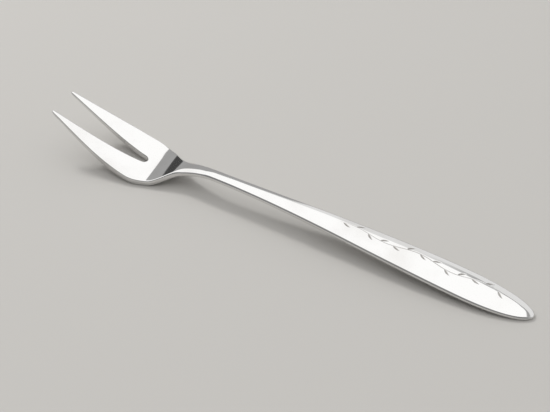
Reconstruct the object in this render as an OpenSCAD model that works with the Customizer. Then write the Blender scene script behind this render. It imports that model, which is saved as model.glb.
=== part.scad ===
// Two-tined lemon fork, stamped and bent from one strip of stainless steel.
// Millimetres. X runs from the tine points (minus) to the end of the handle (plus).
// Z is up, and Z = 0 is the table under the palm and under the end of the handle.
// The fork is one strip, so all six regions are lofts of the same cross-section rule,
// and each region ends on the plane where the next one starts.

/* [Lengths] */
// From a tine's point to the root of the slot
tine_length = 28.6; // [24:0.1:34]
// From the root of the slot to the end of the shoulders
palm_length = 12.7; // [11.4:0.1:16]
// From the shoulders to the crest of the arch
neck_length = 10.4; // [8:0.1:18]
// From the crest to where the handle starts to broaden out
stem_length = 32.3; // [20:0.1:45]
// From there to the end of the handle
handle_length = 62; // [45:1:80]
// The part of the handle that rounds off to its pointed end
end_taper = 19; // [12:0.2:26]

/* [Widths] */
// Between the centres of the two points
tip_spread = 9.5; // [7.5:0.1:11]
// Across one point
tip_width = 0.7; // [0.5:0.05:1.2]
// Across the round root of the slot
slot_width = 2.3; // [1.8:0.1:3.4]
// Across the head at its widest
head_width = 17.4; // [15.6:0.2:20]
// How far ahead of the root of the slot the head is widest
widest_ahead = 1.8; // [1.2:0.2:6]
// Across the shoulders, part of the way down their curve
shoulder_width = 14.4; // [12:0.1:15.4]
// How far behind the root of the slot that width is taken
shoulder_behind = 4.4; // [3:0.1:6]
// Across the neck, at the end of the shoulders
neck_width = 5.2; // [4:0.1:6]
// Across the stem at the crest, where the fork is narrowest
stem_width = 3.7; // [3:0.1:4.4]
// Across the handle at its widest
handle_width = 10.1; // [7:0.1:13]

/* [Side profile] */
// Underside of the points above the table
tip_rise = 12.3; // [6:0.1:16]
// Slope of the tines at their points, in degrees
tine_pitch = 27; // [16:1:32]
// How far behind the root of the slot the palm rests on the table
rest_behind = 3.5; // [2:0.1:4.6]
// How far behind the root of the slot the bend up to the neck is steepest
bend_behind = 10.7; // [9:0.1:11.2]
// Underside of the bend above the table there
bend_height = 2.55; // [1.6:0.05:3.2]
// Slope of the bend there, in degrees
bend_pitch = 28; // [22:1:32]
// Underside of the crest above the table
arch_height = 6; // [4.4:0.1:9]
// Slope of the handle down to its end, in degrees
end_fall = 5.6; // [3.5:0.1:7]
// Depth of the flat worn under the palm
palm_wear = 0.08; // [0.04:0.01:0.15]
// Depth of the flat worn under the end of the handle
end_wear = 0.3; // [0.15:0.05:0.45]

/* [Thicknesses] */
// At the points
tip_thickness = 0.95; // [0.7:0.05:1.3]
// At the palm
palm_thickness = 2.1; // [1.6:0.1:2.6]
// At the crest of the arch
crest_thickness = 1.7; // [1.4:0.1:2.4]
// At the end of the handle
end_thickness = 1.8; // [1.4:0.1:2.4]

/* [Edges] */
// Rounding along the tines
tine_edge = 0.35; // [0.2:0.05:0.5]
// Rounding along the stem and the handle
handle_edge = 0.8; // [0.4:0.05:1]
// How much the stem and the handle are domed across the top
handle_crown = 0.4; // [0:0.05:0.5]

/* [Hidden] */
steel = [0.76, 0.755, 0.74];
root_at = tine_length;
palm_end = root_at + palm_length;
crest_at = palm_end + neck_length;
stem_end = crest_at + stem_length;
overall_length = stem_end + handle_length;
broadest_at = overall_length - end_taper;
rest_at = root_at + rest_behind;
shoulder_at = root_at + shoulder_behind;
bend_at = root_at + bend_behind;
// Length of a tine's rounded nose, and how blunt its very end is left
nose = 0.9;
blunt = 0.3;
// Share of its width that the very end of the handle keeps, and the length of that facet
end_blunt = 0.04;
end_facet = 0.06;
// The outer sides leave the points this much faster than they run on average
flare_ratio = 1.3;
// Most that a rounded edge takes of the steel's height, of the strip's half-width and of a
// tine's width, and the steepest side along which the strip's edge still widens
edge_share = 0.45;
strip_share = 0.7;
tine_share = 0.4;
steepest_side = 6;
// Steps of a rounded edge, from the side of the strip to its face
turns = [0, 22.5, 45, 67.5, 90];
// Columns between the two rounded edges, closer together in the middle of the strip
columns = [0.14, 0.28, 0.38, 0.45, 0.5, 0.55, 0.62, 0.72, 0.86];
tine_columns = [0.2, 0.4, 0.6, 0.8];
// Sections along each region, and the angle from one to the next round the curved ends
tine_bays = 15;
palm_bays = 12;
neck_bays = 12;
stem_bays = 12;
handle_bays = 15;
nose_turn = 22.5;
root_turn = 18;
end_turn = 7.5;
// Sections behind the root of the slot, as shares of the rounding there
dip_shares = [0, 0.12, 0.4];
// Half the length over which a slope is measured
reach = 0.02;

// A smooth curve through [station, value] points that never swings past them
function chord(p, i) = (p[i + 1][1] - p[i][1]) / (p[i + 1][0] - p[i][0]);
function fair(m, n) = m * n <= 0 ? 0 : 2 * m * n / (m + n);
function slope(p, i, first, last) =
    i == 0 ? first : i == len(p) - 1 ? last : fair(chord(p, i - 1), chord(p, i));
function curve(p, s, first = 0, last = 0) =
    s <= p[0][0] ? p[0][1] + first * (s - p[0][0])
    : s >= p[len(p) - 1][0] ? p[len(p) - 1][1] + last * (s - p[len(p) - 1][0])
    : let (
        i = max([for (k = [0 : len(p) - 2]) if (s >= p[k][0]) k]),
        h = p[i + 1][0] - p[i][0],
        t = (s - p[i][0]) / h,
        m = slope(p, i, first, last) * h,
        n = slope(p, i + 1, first, last) * h
    )
    p[i][1] * (1 + 2 * t) * (1 - t) ^ 2 + m * t * (1 - t) ^ 2
    + p[i + 1][1] * t ^ 2 * (3 - 2 * t) + n * t ^ 2 * (t - 1);

// Outer half-width of the strip at station s, measured from the points
outline = [
    [0, (tip_spread + tip_width) / 2],
    [root_at - widest_ahead, head_width / 2],
    [shoulder_at, shoulder_width / 2],
    [palm_end, neck_width / 2],
    [crest_at, stem_width / 2],
    [broadest_at, handle_width / 2]
];
flare = flare_ratio * chord(outline, 0);
function rounded_end(s) =
    let (u = min(1, (s - broadest_at) / end_taper)) max(end_blunt, sqrt(1 - u ^ 2));
function outer(s) =
    s < broadest_at ? curve(outline, s, flare, 0) : handle_width / 2 * rounded_end(s);

// Half-width of the slot, grown by d. Its straight sides run tangent into the round root.
slot_mouth = (tip_spread - tip_width) / 2;
root_radius = slot_width / 2;
root_centre = root_at - root_radius;
slot_angle = atan2(slot_mouth, root_centre)
    - asin(root_radius / norm([slot_mouth, root_centre]));
function slot(s, d = 0) =
    s < root_centre + (root_radius + d) * sin(slot_angle)
    ? slot_mouth - s * tan(slot_angle) + d / cos(slot_angle)
    : sqrt(max(0, (root_radius + d) ^ 2 - (s - root_centre) ^ 2));

// Underside, thickness, edge rounding and dome at station s
head_profile = [[0, tip_rise], [rest_at, -palm_wear], [bend_at, bend_height]];
arch_profile = [[bend_at, bend_height], [crest_at, arch_height], [overall_length, -end_wear]];
function sole(s) =
    s < bend_at ? curve(head_profile, s, -tan(tine_pitch), tan(bend_pitch))
    : curve(arch_profile, s, tan(bend_pitch), -tan(end_fall));
function steepness(s) = (sole(s + reach) - sole(s - reach)) / (2 * reach);
gauge = [
    [0, tip_thickness],
    [root_at, palm_thickness],
    [crest_at, crest_thickness],
    [overall_length, end_thickness]
];
function thickness(s) =
    curve(gauge, s, chord(gauge, 0)) * sqrt(1 + steepness(s) ^ 2);
rounding = [[0, tine_edge], [root_at, tine_edge], [palm_end, handle_edge]];
dome = [[0, 0], [bend_at, 0], [palm_end, handle_crown]];
function crown(s) = curve(dome, s);
function edge(s) = min(curve(rounding, s), edge_share * (thickness(s) - crown(s)));

// One cross-section as a closed loop. Each entry of rows is [y, share of the edge's drop].
function section(s, rows) =
    let (
        low = sole(s),
        high = low + thickness(s),
        drop = edge(s),
        arch = crown(s) / outer(s) ^ 2,
        n = len(rows) - 1
    )
    concat(
        [for (r = rows) [s - overall_length / 2, r[0], high - arch * r[0] ^ 2 - drop * r[1]]],
        [for (i = [n : -1 : 0])
            [s - overall_length / 2, rows[i][0], max(0, low + drop * rows[i][1])]]
    );

// Rows of the whole strip, from one side to the other
function side_slope(s) =
    min(steepest_side, abs(outer(s + reach) - outer(s - reach)) / (2 * reach));
function past_slot(s, y) =
    let (e = edge(s), d = norm([s - root_centre, y]) - root_radius)
    d >= e ? 0 : 1 - sqrt(max(0, 1 - (1 - max(0, d) / e) ^ 2));
function strip_rows(s) =
    let (
        w = outer(s),
        zone = min(edge(s) * sqrt(1 + side_slope(s) ^ 2), strip_share * w),
        flat = w - zone
    )
    concat(
        [for (a = turns) [-w + zone * (1 - cos(a)), 1 - sin(a)]],
        [for (c = columns) let (y = flat * (2 * c - 1)) [y, past_slot(s, y)]],
        [for (i = [len(turns) - 1 : -1 : 0]) let (a = turns[i])
            [w - zone * (1 - cos(a)), 1 - sin(a)]]
    );

// Rows of one tine, from the slot to its outer side, drawn in to a rounded nose
function nose_share(s) = s >= nose ? 1 : sqrt(1 - (1 - max(s / nose, blunt ^ 2)) ^ 2);
function tine_rows(s) =
    let (
        w = outer(s),
        e = min(edge(s), tine_share * (w - slot(s))),
        zone = min(e * sqrt(1 + side_slope(s) ^ 2), tine_share * (w - slot(s))),
        inside = slot(s, e),
        middle = (slot(s) + w) / 2
    )
    [for (r = concat(
        [for (a = turns) [slot(s, e * (1 - cos(a))), 1 - sin(a)]],
        [for (c = tine_columns) [inside + (w - zone - inside) * c, 0]],
        [for (i = [len(turns) - 1 : -1 : 0]) let (a = turns[i])
            [w - zone * (1 - cos(a)), 1 - sin(a)]]
    )) [middle + (r[0] - middle) * nose_share(s), r[1]]];

function spread(from, to, n) = [for (i = [1 : n]) from + (to - from) * i / n];

// A closed skin over a list of loops
module loft(loops) {
    n = len(loops[0]);
    m = len(loops) - 1;
    skin = [for (j = [0 : m - 1]) for (i = [0 : n - 1])
        let (a = j * n + i, b = j * n + (i + 1) % n)
        each [[a, b, a + n], [b, b + n, a + n]]];
    ends = [[for (i = [n - 1 : -1 : 0]) i], [for (i = [0 : n - 1]) m * n + i]];
    polyhedron(points = [for (l = loops) each l], faces = concat(skin, ends), convexity = 6);
}
module strip(stations) loft([for (s = stations) section(s, strip_rows(s))]);
module tine() {
    bend = root_centre + root_radius * sin(slot_angle);
    stations = concat(
        [for (a = [0 : nose_turn : 90]) nose * (1 - cos(a))],
        spread(nose, bend, tine_bays),
        [for (a = [root_turn : root_turn : 90]) bend + (root_at - bend) * sin(a)]
    );
    loft([for (s = stations) section(s, tine_rows(s))]);
}

// Flat pointed tines that curve up, either side of a tapering slot
module right_tine() color(steel) tine();
module left_tine() color(steel) mirror([0, 1, 0]) tine();

// The plate behind the slot, drawn in by the shoulders
module palm() color(steel) {
    e = edge(root_at);
    strip(concat(
        [for (share = dip_shares) root_at + share * e],
        [root_at + e],
        spread(root_at + e, palm_end, palm_bays)
    ));
}

// The narrow bend that lifts the strip off the table
module neck() color(steel) strip(concat([palm_end], spread(palm_end, crest_at, neck_bays)));

// The slim arched shank
module stem() color(steel) strip(concat([crest_at], spread(crest_at, stem_end, stem_bays)));

// The broad grip with its pointed-oval end
module handle() color(steel) strip(concat(
    [stem_end],
    spread(stem_end, broadest_at, handle_bays),
    [for (a = [end_turn : end_turn : 90 - end_turn]) broadest_at + end_taper * sin(a)],
    [overall_length - end_facet, overall_length]
));

left_tine();
right_tine();
palm();
neck();
stem();
handle();
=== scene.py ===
# A two-tined lemon fork of polished stainless steel, lying on a pale table, in metres.
# X runs from the tine points to the end of the handle, +Y is the far side of the picture,
# and Z = 0 is the table.
import math

import bpy
import numpy as np
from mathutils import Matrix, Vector


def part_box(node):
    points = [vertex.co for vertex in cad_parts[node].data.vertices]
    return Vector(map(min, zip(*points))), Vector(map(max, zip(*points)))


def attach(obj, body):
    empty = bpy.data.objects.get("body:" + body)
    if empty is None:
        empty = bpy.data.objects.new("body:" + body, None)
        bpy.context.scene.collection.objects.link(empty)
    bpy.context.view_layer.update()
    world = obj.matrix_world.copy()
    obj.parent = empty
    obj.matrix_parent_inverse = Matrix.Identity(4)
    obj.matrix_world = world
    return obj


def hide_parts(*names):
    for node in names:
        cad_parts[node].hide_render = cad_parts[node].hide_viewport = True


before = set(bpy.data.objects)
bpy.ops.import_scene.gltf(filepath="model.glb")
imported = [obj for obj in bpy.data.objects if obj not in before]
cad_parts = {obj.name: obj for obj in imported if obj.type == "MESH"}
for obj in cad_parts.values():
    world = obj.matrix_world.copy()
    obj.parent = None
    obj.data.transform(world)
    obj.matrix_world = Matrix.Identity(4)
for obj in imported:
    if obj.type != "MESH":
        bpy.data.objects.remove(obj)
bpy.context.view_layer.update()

# The tines
# The fork is one strip of stainless steel, blanked to its outline and bent in a press. Its two
# flat pointed tines have a tapering slot between them, and curve up. Their edges are only
# broken on the polishing wheel, so they are crisper than the handle's.
MM = 0.001
micron_places = 6


def sections(node):
    """[x, slot side, outer side, underside, top] of each section of a solid, in order of x."""
    corners = np.array([vertex.co[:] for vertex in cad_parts[node].data.vertices])
    places = corners[:, 0].round(micron_places)
    found = []
    for place in np.unique(places):
        y, z = corners[places == place, 1:].T
        found.append((place, abs(y).min(), abs(y).max(), z.min(), z.max()))
    return np.array(found)


def fair_curve(at, value):
    """A curve through the given points that bends without a jump: a natural cubic spline."""
    gap, climb = np.diff(at), np.diff(value) / np.diff(at)
    ties, pull = np.eye(len(at)), np.zeros(len(at))
    for i in range(1, len(at) - 1):
        ties[i, i - 1 : i + 2] = gap[i - 1], 2 * (gap[i - 1] + gap[i]), gap[i]
        pull[i] = 6 * (climb[i] - climb[i - 1])
    bend = np.linalg.solve(ties, pull)

    def curve(x):
        i = np.clip(np.searchsorted(at, x) - 1, 0, len(at) - 2)
        past, ahead = x - at[i], at[i + 1] - x
        cubes = (bend[i] * ahead**3 + bend[i + 1] * past**3) / (6 * gap[i])
        start = (value[i] / gap[i] - bend[i] * gap[i] / 6) * ahead
        return cubes + start + (value[i + 1] / gap[i] - bend[i + 1] * gap[i] / 6) * past

    return curve


def ramp(x, start, stop, low, high):
    """low up to start, high from stop on, and an even bend between them."""
    share = np.clip((x - start) / (stop - start), 0, 1)
    return low + (high - low) * share**2 * (3 - 2 * share)


# The line of the whole strip: its regions, its outline and its two faces
nose = 0.9 * MM
tine_sections = sections("right_tine")
tip_x, root_x = tine_sections[0, 0], tine_sections[-1, 0]
strip_sections = np.vstack(
    [tine_sections[tine_sections[:, 0] > tip_x + nose / 2][:-1]]
    + [sections(node)[:-1] for node in ("palm", "neck", "stem")]
    + [sections("handle")]
)
palm_end, crest_x, handle_x = (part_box(node)[1].x for node in ("palm", "neck", "stem"))
end_x = strip_sections[-1, 0]
grip = strip_sections[strip_sections[:, 0] > handle_x]
broad_x, broad = grip[grip[:, 2].argmax(), [0, 2]]
taper = end_x - broad_x
top = fair_curve(strip_sections[:, 0], strip_sections[:, 4])
underside = fair_curve(strip_sections[:, 0], strip_sections[:, 3])
sides = strip_sections[strip_sections[:, 0] < broad_x + taper / 2]
side = fair_curve(sides[:, 0], sides[:, 2])

# The rounding of the strip's edges, and how its top falls away towards them. The palm is
# slightly crowned. The roll along the edges is narrow on the palm, meets in the middle of the
# stem, and leaves a flat along the handle that narrows towards the end.
tine_edge, handle_edge, end_edge = 0.35 * MM, 0.52 * MM, 0.36 * MM
palm_radius = 130 * MM
palm_roll, stem_roll, grip_roll, end_roll = 0.7 * MM, 2.0 * MM, 2.8 * MM, 4.3 * MM
stem_drop, grip_drop, end_drop = 0.48 * MM, 0.57 * MM, 0.74 * MM
crown_start, grip_full = root_x - 9 * MM, handle_x + 20 * MM
roll_start, roll_stop = palm_end - 3 * MM, palm_end + MM
drop_start, drop_stop = palm_end - 5 * MM, palm_end + 2 * MM
slope_step, least_share = MM / 100, 0.01


def edge(x):
    """Radius of the rounded edges."""
    size = ramp(x, root_x, palm_end, tine_edge, handle_edge)
    return size + ramp(x, broad_x, end_x, 0, end_edge - handle_edge)


def dome(x, y):
    """How far the top falls away from the middle of the strip towards its edges."""
    past = np.clip((x - broad_x) / taper, 0, 1)
    body_x = np.minimum(x, broad_x)
    wide = side(body_x)
    lean = (side(body_x + slope_step) - side(body_x - slope_step)) / (2 * slope_step)
    # share is 0 in the middle and 1 on the outline, and climb is how steeply it grows there
    share = np.where(past > 0, np.hypot(past, y / broad), abs(y) / wide)
    end_climb = np.hypot(past / taper, y / broad**2) / np.maximum(share, least_share)
    climb = np.where(past > 0, end_climb, np.hypot(share * lean, 1) / wide)
    share = np.minimum(share, 1)
    on_grip = ramp(x, handle_x, grip_full, 0, 1)
    on_end = ramp(x, broad_x - taper, end_x, 0, 1)
    roll = ramp(x, roll_start, roll_stop, palm_roll, stem_roll)
    roll = roll + on_grip * (grip_roll - stem_roll) + on_end * (end_roll - grip_roll)
    roll = np.minimum(roll, wide)
    drop = ramp(x, drop_start, drop_stop, 0, stem_drop)
    drop = drop + on_grip * (grip_drop - stem_drop) + on_end * (end_drop - grip_drop)
    crown = ramp(x, crown_start, root_x, 0, 1) - ramp(x, palm_end, crest_x, 0, 1)
    rolled = drop * np.clip(1 - (1 - share) / climb / roll, 0, 1) ** 2
    return rolled + crown * y**2 / (2 * palm_radius)


def outward_of(path):
    """Unit directions square to a path, on its left."""
    along = np.gradient(path, axis=0)
    along /= np.linalg.norm(along, axis=1)[:, None]
    return np.stack([-along[:, 1], along[:, 0]], 1)


def follow(path, place):
    """Points of a path at fractional places along its list."""
    steps = np.arange(len(path))
    return np.stack([np.interp(place, steps, column) for column in path.T], -1)


side_points, end_points, edge_points = 4000, 1200, 10
side_x = np.linspace(tip_x, broad_x, side_points)
end_turn = np.linspace(0, math.pi / 2, end_points)[1:]
outline = np.vstack([
    np.stack([side_x, side(side_x)], 1),
    np.stack([broad_x + taper * np.sin(end_turn), broad * np.cos(end_turn)], 1),
])
outward = outward_of(outline)
inset = outline - edge(outline[:, 0])[:, None] * outward
edge_turns = np.linspace(math.pi / 2, 0, edge_points)


def rounded_edge(rim, out, size):
    """Plan and drop of a rounded edge, from the side of the strip in to its face."""
    inward = size[:, None] * (1 - np.sin(edge_turns))
    plan = rim[:, None] - inward[..., None] * out[:, None]
    return plan, size[:, None] * (1 - np.cos(edge_turns))


def even_columns(count):
    """Shares of the way across a face, without its two ends."""
    return np.linspace(0, 1, count + 2)[1:-1]


def across(first, face_columns, second):
    """Plan and drop from one rounded edge over the face to the other one."""
    (first_plan, first_drop), (second_plan, second_drop) = first, second
    start, stop = first_plan[:, -1], second_plan[:, -1]
    face = start[:, None] + (stop - start)[:, None] * face_columns[:, None]
    level = np.zeros(face.shape[:2])
    plan = np.concatenate([first_plan, face, second_plan[:, ::-1]], 1)
    return plan, np.concatenate([first_drop, level, second_drop[:, ::-1]], 1)


def closed_loops(over, under, cut=0):
    """The strip's sections as loops, over the top and back underneath."""
    plan, drop = over
    x, y = plan[..., 0], plan[..., 1]
    upper = np.stack([x, y, top(x) - dome(x, y) - drop - cut], -1)
    plan, drop = under
    x, y = plan[..., 0], plan[..., 1]
    lower = np.stack([x, y, np.maximum(underside(x) + drop, 0)], -1)
    return np.concatenate([upper, lower[:, ::-1]], 1)


def rim_mark(drop, size):
    """1 on the side of the strip, fading to 0 where its edge meets the face."""
    return np.clip(drop / size[:, None], 0, 1)


def skin(name, loops, rims, cuts, rounded_end=None):
    """A closed, smooth-shaded mesh over loops of points. Its caps are hidden in the steel, and
    rounded_end is the number of points over the top where the last loop closes on itself."""
    rows, around = loops.shape[:2]
    number = np.arange(rows * around).reshape(rows, around)
    ahead = np.roll(number, -1, 1)
    quads = np.stack([number[:-1], number[1:], ahead[1:], ahead[:-1]], -1).reshape(-1, 4)
    faces = quads.tolist() + [number[0].tolist()]
    last = number[-1].tolist()
    if rounded_end is None:
        faces.append(last[::-1])
    else:
        over, under = last[:rounded_end], last[rounded_end:][::-1]
        for line, turned in ((over, 1), (under, -1)):
            pairs = list(zip(line, line[::-1]))[: len(line) // 2]
            for (a, b), (c, d) in zip(pairs, pairs[1:]):
                faces.append((a, b, d, c)[::turned])
            if len(line) % 2:
                a, b = pairs[-1]
                faces.append((a, b, line[len(line) // 2])[::turned])
        faces.append((under[0], under[-1], over[-1], over[0]))
    mesh = bpy.data.meshes.new(name)
    mesh.from_pydata(loops.reshape(-1, 3).tolist(), [], faces)
    mesh.polygons.foreach_set("use_smooth", [True] * len(faces))
    for label, values in (("rim", rims), ("cut", cuts)):
        layer = mesh.attributes.new(label, "FLOAT", "POINT")
        layer.data.foreach_set("value", np.ravel(values).astype(np.float32))
    ring = np.concatenate([loops[:, -1:], loops, loops[:, :1]], 1)
    facing = np.cross(np.gradient(loops, axis=0, edge_order=2), ring[:, 2:] - ring[:, :-2])
    no_length = 1e-12
    facing /= np.maximum(np.linalg.norm(facing, axis=-1), no_length)[..., None]
    mesh.normals_split_custom_set_from_vertices(facing.reshape(-1, 3).tolist())
    piece = bpy.data.objects.new(name, mesh)
    bpy.context.scene.collection.objects.link(piece)
    return piece


class Wire:
    """A shader socket on which Python's operators add Math nodes."""

    def __init__(self, tree, socket=None):
        self.tree = tree
        self.socket = socket

    def node(self, kind, settings=None, sockets=None, out=0):
        """Adds a node, sets its settings, then its sockets, and gives one of its outputs."""
        made = self.tree.nodes.new("ShaderNode" + kind)
        for name, value in (settings or {}).items():
            setattr(made, name, value)
        for name, value in (sockets or {}).items():
            if isinstance(value, Wire):
                self.tree.links.new(value.socket, made.inputs[name])
            else:
                made.inputs[name].default_value = value
        return Wire(self.tree, made.outputs[out])

    def maths(self, operation, *values):
        return self.node("Math", {"operation": operation}, dict(enumerate(values)))

    def __add__(self, other):
        return self.maths("ADD", self, other)

    def __sub__(self, other):
        return self.maths("SUBTRACT", self, other)

    def __rsub__(self, other):
        return self.maths("SUBTRACT", other, self)

    def __mul__(self, other):
        return self.maths("MULTIPLY", self, other)

    __radd__ = __add__
    __rmul__ = __mul__

    def larger(self, other):
        return self.maths("MAXIMUM", self, other)

    def smaller(self, other):
        return self.maths("MINIMUM", self, other)

    def rise(self, start, stop):
        """0 up to start, 1 from stop on, and an even bend between them."""
        sockets = {"Value": self, "From Min": start, "From Max": stop}
        return self.node("MapRange", {"interpolation_type": "SMOOTHSTEP"}, sockets)

    def between(self, low, high):
        """low where this is 0, high where it is 1."""
        return low + (high - low) * self

    def stretch(self, scale):
        """This vector with each part multiplied."""
        return self.node("VectorMath", {"operation": "MULTIPLY"}, {0: self, 1: scale})

    def blend(self, first, second):
        """The first colour where this is 0, the second where it is 1."""
        sockets = {"Factor": self, 6: first, 7: second}
        return self.node("Mix", {"data_type": "RGBA"}, sockets, out=2)


def polished_steel():
    """Bright-polished stainless steel with buffing lines, hair scratches and handling marks."""
    material = bpy.data.materials.new("polished_steel")
    material.use_nodes = True
    shader = material.node_tree.nodes["Principled BSDF"]
    nodes = Wire(material.node_tree)
    place = nodes.node("TexCoord", out="Object")
    cut = nodes.node("Attribute", {"attribute_name": "cut"}, out="Fac")
    rim = nodes.node("Attribute", {"attribute_name": "rim"}, out="Fac")

    # Marks per metre: along the strip, across it and through it. Each set of hair scratches has
    # its turn and its marks along the scratch.
    buffing_grain, smudge_grain = (160, 7000, 7000), 90
    scratch_sets = ((0.35, 210), (-0.55, 260), (1.2, 320))
    scratch_across, scratch_through = 3200, 60
    few_scratches, some_smudges = (0.70, 0.74), (0.45, 0.75)
    along = place.stretch(buffing_grain)
    buffing = nodes.node("TexNoise", {}, {"Vector": along, "Scale": 1, "Detail": 3})
    smudge = nodes.node("TexNoise", {}, {"Vector": place, "Scale": smudge_grain, "Detail": 5})
    hairlines = 0
    for turn, scratch_along in scratch_sets:
        sockets = {"Vector": place, "Angle": turn}
        turned = nodes.node("VectorRotate", {"rotation_type": "Z_AXIS"}, sockets)
        streaks = turned.stretch((scratch_along, scratch_across, scratch_through))
        field = nodes.node("TexNoise", {}, {"Vector": streaks, "Scale": 1})
        hairlines = hairlines + field.rise(*few_scratches)

    bright, dull, groove_colour = (0.775, 0.77, 0.76, 1), (0.72, 0.71, 0.695, 1), (0.30, 0.28, 0.26, 1)
    groove_darkening, polish = 0.85, 0.03
    scratch_depth, mark_strength, mark_height = 0.3, 0.025, 0.02 * MM
    colour = smudge.rise(*some_smudges).blend(bright, dull)
    # The engraved grooves are coloured darker than the polished steel around them.
    colour = (groove_darkening * cut).blend(colour, groove_colour)
    rough = polish + 0.04 * smudge + 0.02 * buffing + 0.03 * hairlines + 0.04 * rim + 0.3 * cut
    height = buffing - scratch_depth * hairlines
    sockets = {"Strength": mark_strength, "Distance": mark_height, "Height": height}
    relief = nodes.node("Bump", {}, sockets)
    links = material.node_tree.links
    links.new(colour.socket, shader.inputs["Base Color"])
    links.new(rough.socket, shader.inputs["Roughness"])
    links.new(relief.socket, shader.inputs["Normal"])
    shader.inputs["Metallic"].default_value = 1
    return material


steel = polished_steel()

# The slot: straight sides that run tangent into a round root
tip_run, root_run = 2 * MM, 6 * MM
straight = tine_sections[
    (tine_sections[:, 0] > tip_x + tip_run) & (tine_sections[:, 0] < root_x - root_run)
]
slot_fall = -(straight[-1, 1] - straight[0, 1]) / (straight[-1, 0] - straight[0, 0])
slot_lean = math.atan(slot_fall)
slot_mouth = straight[0, 1] + slot_fall * (straight[0, 0] - tip_x)
on_root = tine_sections[-3]
root_gap = root_x - on_root[0]
root_radius = (root_gap**2 + on_root[1] ** 2) / (2 * root_gap)
root_centre = root_x - root_radius

straight_points, round_points = 2000, 600
slot_turn = np.linspace(slot_lean, math.pi / 2, round_points)
slot_bend = root_centre + root_radius * math.sin(slot_lean)
straight_x = np.linspace(tip_x, slot_bend, straight_points)[:-1]
slot_rim = np.vstack([
    np.stack([straight_x, slot_mouth - slot_fall * (straight_x - tip_x)], 1),
    np.stack([root_centre + root_radius * np.sin(slot_turn), root_radius * np.cos(slot_turn)], 1),
])
slot_out = np.vstack([
    np.full((len(straight_x), 2), (-math.sin(slot_lean), -math.cos(slot_lean))),
    -np.stack([np.sin(slot_turn), np.cos(slot_turn)], 1),
])
slot_inset = slot_rim - tine_edge * slot_out

# Rows along a tine lie closer on its nose and around the root of the slot
tine_row, nose_rows, root_rows, tine_columns = 0.22 * MM, 14, 26, 16
nose_start, nose_gap, root_zone = math.radians(6), 0.2 * MM, 1.6 * MM
edge_share = 0.42


def tine_loops():
    """Sections of the tine on the +Y side, from its point to just behind the root of the slot."""
    nose_turn = np.linspace(nose_start, math.pi / 2, nose_rows)
    body = np.arange(tip_x + nose + nose_gap, root_x - root_zone, tine_row)
    root_steps = np.sin(np.linspace(0, math.pi / 2, root_rows))[1:]
    root = body[-1] + (root_x + tine_edge - body[-1]) * root_steps
    xs = np.concatenate([tip_x + nose * (1 - np.cos(nose_turn)), body, root])
    at_rim = np.interp(xs, inset[:, 0], np.arange(len(inset)))
    rim, out = follow(outline, at_rim), follow(outward, at_rim)
    at_slot = np.interp(xs, slot_inset[:, 0], np.arange(len(slot_inset)))
    inner, inner_out = follow(slot_rim, at_slot), follow(slot_out, at_slot)
    size = np.minimum(edge(xs), edge_share * np.linalg.norm(rim - inner, axis=1))
    inner_edge, outer_edge = rounded_edge(inner, inner_out, size), rounded_edge(rim, out, size)
    face = across(inner_edge, even_columns(tine_columns), outer_edge)
    loops = closed_loops(face, face)
    inside = np.clip((xs - tip_x) / nose, 0, 1)
    draw_in = np.sqrt(1 - (1 - inside) ** 2)[:, None]
    for axis in (1, 2):
        middle = (loops[..., axis].min(1) + loops[..., axis].max(1))[:, None] / 2
        loops[..., axis] = middle + (loops[..., axis] - middle) * draw_in
    rims = rim_mark(face[1], size)
    return loops, np.concatenate([rims, rims[:, ::-1]], 1)


right_loops, rims = tine_loops()
left_loops = (right_loops * (1, -1, 1))[:, ::-1]
for node, loops, marks in (
    ("right_tine", right_loops, rims),
    ("left_tine", left_loops, rims[:, ::-1]),
):
    tine = skin(node.replace("tine", "flat_tine"), loops, marks, np.zeros(marks.shape))
    tine.data.materials.append(steel)
    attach(tine, "root")
    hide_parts(node)

# The palm
# The flat plate behind the slot, left at the full width of the blank and drawn in by two
# shoulders. The press bends it up towards the neck, and its rim is rolled off.
top_columns, under_columns = even_columns(88), even_columns(24)
full_cut = 0.06 * MM
palm_rows = 90


def strip_face(xs, columns):
    """Plan and drop of the strip from its near edge to its far one, at rows of the given x."""
    place = np.interp(xs, inset[:, 0], np.arange(len(inset)))
    far, drop = rounded_edge(follow(outline, place), follow(outward, place), edge(xs))
    return across((far * (1, -1), drop), columns, (far, drop))


def strip_piece(name, xs, graved=None, rounded_end=False):
    """A length of the strip, plain or engraved."""
    over, under = strip_face(xs, top_columns), strip_face(xs, under_columns)
    cut = graved(over[0]) if graved else np.zeros(over[1].shape)
    size = edge(xs)
    rims = np.concatenate([rim_mark(over[1], size), rim_mark(under[1], size)[:, ::-1]], 1)
    cuts = np.concatenate([np.clip(cut / full_cut, 0, 1), np.zeros(under[1].shape)], 1)
    loops = closed_loops(over, under, cut)
    piece = skin(name, loops, rims, cuts, over[1].shape[1] if rounded_end else None)
    piece.data.materials.append(steel)
    return piece


palm = strip_piece("shouldered_palm", np.linspace(root_x + tine_edge, palm_end, palm_rows))
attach(palm, "root")
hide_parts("palm")

# The neck
# The narrow bend that lifts the strip off the table. It is drawn from the same steel in one
# piece with the palm, and swaged rounder on top.
neck_rows = 70
neck = strip_piece("swaged_neck", np.linspace(palm_end, crest_x, neck_rows))
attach(neck, "root")
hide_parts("neck")

# The stem
# The slim arched shank of the same steel between the neck and the handle. It is swaged to a
# dome on top and left flat underneath.
stem_rows = 130
stem = strip_piece("arched_stem", np.linspace(crest_x, handle_x, stem_rows))
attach(stem, "root")
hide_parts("stem")

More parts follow.
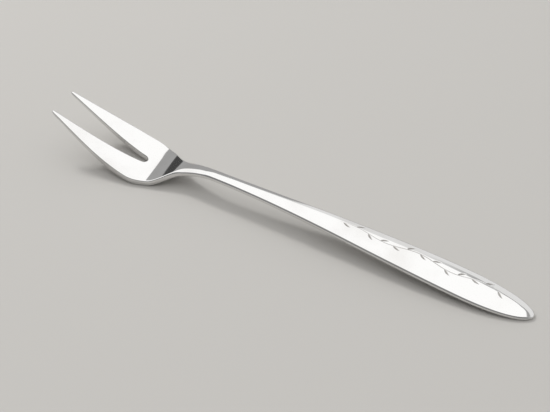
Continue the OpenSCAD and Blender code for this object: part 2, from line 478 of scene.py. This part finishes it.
# The handle
# The broad grip, rolled flat with soft edges and rounded off to an oval end. A graver has cut
# a trailing leafy vine into the far half of its top, in fine tapered strokes.
handle_row, end_rows, row_clear = 0.14 * MM, 150, 0.05 * MM
last_turn = math.radians(89)
oval = broad_x + taper * np.sin(np.linspace(0, last_turn, end_rows))
oval = follow(inset, np.interp(oval, outline[:, 0], np.arange(len(outline))))[:, 0]
body = np.arange(handle_x, broad_x, handle_row)
handle_xs = np.concatenate([body[body < oval[0] - row_clear], oval])

vine_start, vine_stop, vine_wave = 5 * MM, 54 * MM, 19 * MM
vine_side, vine_swing, vine_wide = 0.32, 0.15, 0.13 * MM
leaf_gap, leaf_length, leaf_wide, leaf_points = 3.7 * MM, 2.5 * MM, 0.29 * MM, 12
leaf_lean, leaf_bend = 0.75, 0.55
vine_points, bare_end, short_step = 160, 2 * MM, 0.2 * MM
vine_ends, leaf_ends, leaf_swell = (0.02, 0.98), (0.03, 0.99), 0.8
groove_depth = 0.4


def vine(along):
    """Plan points of the vine's stem, at a length from the start of the handle."""
    x = handle_x + along
    past = np.clip((x - broad_x) / taper, 0, 1)
    wide = np.where(past > 0, broad * np.sqrt(1 - past**2), side(x))
    swing = vine_swing * np.sin(2 * math.pi * (along - vine_start) / vine_wave)
    return np.stack([x, (vine_side + swing) * wide], -1)


def leaf(start, heading, bend):
    """The midrib of a leaf that leaves start at a heading and turns evenly by bend."""
    headings = heading + bend * np.linspace(0, 1, leaf_points)
    steps = np.stack([np.cos(headings), np.sin(headings)], 1)
    steps *= leaf_length / (leaf_points - 1)
    return start + np.vstack([np.zeros(2), np.cumsum(steps[:-1], 0)])


shares = np.linspace(*vine_ends, vine_points)
stem_line = vine(vine_start + (vine_stop - vine_start) * shares)
strokes = [(stem_line, vine_wide * np.sqrt(np.sin(math.pi * shares)))]
leaf_half = leaf_wide * np.sin(math.pi * np.linspace(*leaf_ends, leaf_points) ** leaf_swell)
for count, along in enumerate(np.arange(vine_start + bare_end, vine_stop - bare_end, leaf_gap)):
    here, there = vine(along), vine(along + short_step)
    heading = math.atan2(*(there - here)[::-1])
    turn = 1 if count % 2 else -1
    strokes.append((leaf(here, heading + turn * leaf_lean, -turn * leaf_bend), leaf_half))


def graved(plan):
    """How deep the strokes go at plan points. Each is a rounded groove of changing half-width."""
    depth = np.zeros(plan.shape[:-1])
    for path, halves in strokes:
        wide = halves.max()
        rows = np.flatnonzero(
            (plan[..., 0].max(1) > path[:, 0].min() - wide)
            & (plan[..., 0].min(1) < path[:, 0].max() + wide)
        )
        spot = plan[rows]
        cut = np.zeros(spot.shape[:-1])
        for a, b, half_a, half_b in zip(path, path[1:], halves, halves[1:]):
            run = b - a
            share = np.clip(((spot - a) @ run) / (run @ run), 0, 1)
            off = np.linalg.norm(spot - a - share[..., None] * run, axis=-1)
            half = half_a + (half_b - half_a) * share
            groove = groove_depth * half * np.clip(1 - (off / half) ** 2, 0, 1)
            cut = np.maximum(cut, groove)
        depth[rows] = np.maximum(depth[rows], cut)
    return depth


handle = strip_piece("oval_handle", handle_xs, graved, rounded_end=True)
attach(handle, "root")
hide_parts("handle")

# The table
# A plain table top, painted matt in a pale warm grey. It is much larger than the fork, which
# only lies on it.
reach = 3.0
table_colour, table_rough = (0.53, 0.515, 0.49, 1), 0.7
corners = [(-reach, -reach, 0), (reach, -reach, 0), (reach, reach, 0), (-reach, reach, 0)]
table_mesh = bpy.data.meshes.new("table")
table_mesh.from_pydata(corners, [], [(0, 1, 2, 3)])
table = bpy.data.objects.new("table", table_mesh)
bpy.context.scene.collection.objects.link(table)
paint = bpy.data.materials.new("table_paint")
paint.use_nodes = True
paint_shader = paint.node_tree.nodes["Principled BSDF"]
paint_shader.inputs["Base Color"].default_value = table_colour
paint_shader.inputs["Roughness"].default_value = table_rough
table_mesh.materials.append(paint)

# The light
# A round soft lamp behind the fork on the left gives the shadow, and is kept out of the steel's
# mirror. The steel mirrors a plain room: a white ceiling, a pale back wall with a darker rail
# under the ceiling, a grey left wall with a bright window, and a dim wall in front.
lamp_place, lamp_wide, lamp_radiance = (-0.63, 0.30, 0.63), 0.16, 49
lamp = bpy.data.lights.new("soft_lamp", "AREA")
lamp.shape = "DISK"
lamp.size = lamp_wide
lamp.energy = math.pi * lamp_radiance * math.pi / 4 * lamp_wide**2
light = bpy.data.objects.new("soft_lamp", lamp)
light.location = lamp_place
light.rotation_euler = (-light.location).to_track_quat("-Z", "Y").to_euler()
light.visible_glossy = False
bpy.context.scene.collection.objects.link(light)

# Brightness of each part of the room, first at its foot or, for the ceiling, at the front
ceiling_front, ceiling_level = 0.3, 1.27
back_foot, back_level, rail_shade = 0.372, 0.93, 0.55
left_foot, left_level = 0.07, 0.43
front_foot, front_level = 0.34, 0.2

world = bpy.data.worlds.new("room")
bpy.context.scene.world = world
world.use_nodes = True
room = Wire(world.node_tree)
gaze = room.node("TexCoord", out="Generated")
x, y, z = (room.node("SeparateXYZ", {}, {"Vector": gaze}, out=axis) for axis in "XYZ")

# x, y and z are the way a ray takes from the fork, and each rise is a soft line in the room. The
# back wall meets the ceiling along two slanting lines, and the left wall in a leaning corner.
over_back = (z - 0.2 * x - 0.68).smaller(z - 0.9 * x - 0.55)
rail = x.rise(-0.1, 0.02) * over_back.rise(-0.17, -0.12) * (1 - over_back.rise(-0.02, 0.02))
back_wall = z.rise(0.1, 0.25).between(back_foot, back_level) * (1 - rail_shade * rail)
above_foot = z.rise(0.105, 0.13).larger(x.rise(-0.765, -0.735))
left_wall = above_foot.between(left_foot, left_level)
corner = (x + 0.09 * z.rise(0.5, 0.62)).rise(-0.283, -0.267)
front_wall = z.rise(0.3, 0.42).between(front_foot, front_level)
wall = y.rise(-0.4, 0.3).between(front_wall, corner.between(left_wall, back_wall))

over_left = (z + 0.15 * y).rise(0.762, 0.776)
ceiling = corner.between(over_left, over_back.rise(-0.02, 0.02))
window = (1 - x.rise(-0.56, -0.46)) * z.rise(0.28, 0.33) * (1 - y.rise(0.43, 0.50))
white = y.rise(-0.6, -0.35).between(ceiling_front, ceiling_level)
level = ceiling.larger(window).between(wall, white)
background = world.node_tree.nodes["Background"]
world.node_tree.links.new(level.socket, background.inputs["Color"])

# The camera
# It stands in front of the fork to the right, and looks down on it through a rather long lens, as
# the photograph was taken.
azimuth, elevation = math.radians(28.49), math.radians(46)
distance, half_view = 0.3096, math.radians(14)
target = Vector((-4.12 * MM, 3.3 * MM, 0))
back = Vector((
    math.sin(azimuth) * math.cos(elevation),
    -math.cos(azimuth) * math.cos(elevation),
    math.sin(elevation),
))
lens = bpy.data.cameras.new("camera")
lens.lens = lens.sensor_width / 2 / math.tan(half_view)
lens.clip_start = 0.01
camera = bpy.data.objects.new("camera", lens)
camera.location = target + distance * back
camera.rotation_euler = (-back).to_track_quat("-Z", "Y").to_euler()
bpy.context.scene.collection.objects.link(camera)
bpy.context.scene.camera = camera
bpy.context.scene.view_settings.view_transform = "Standard"
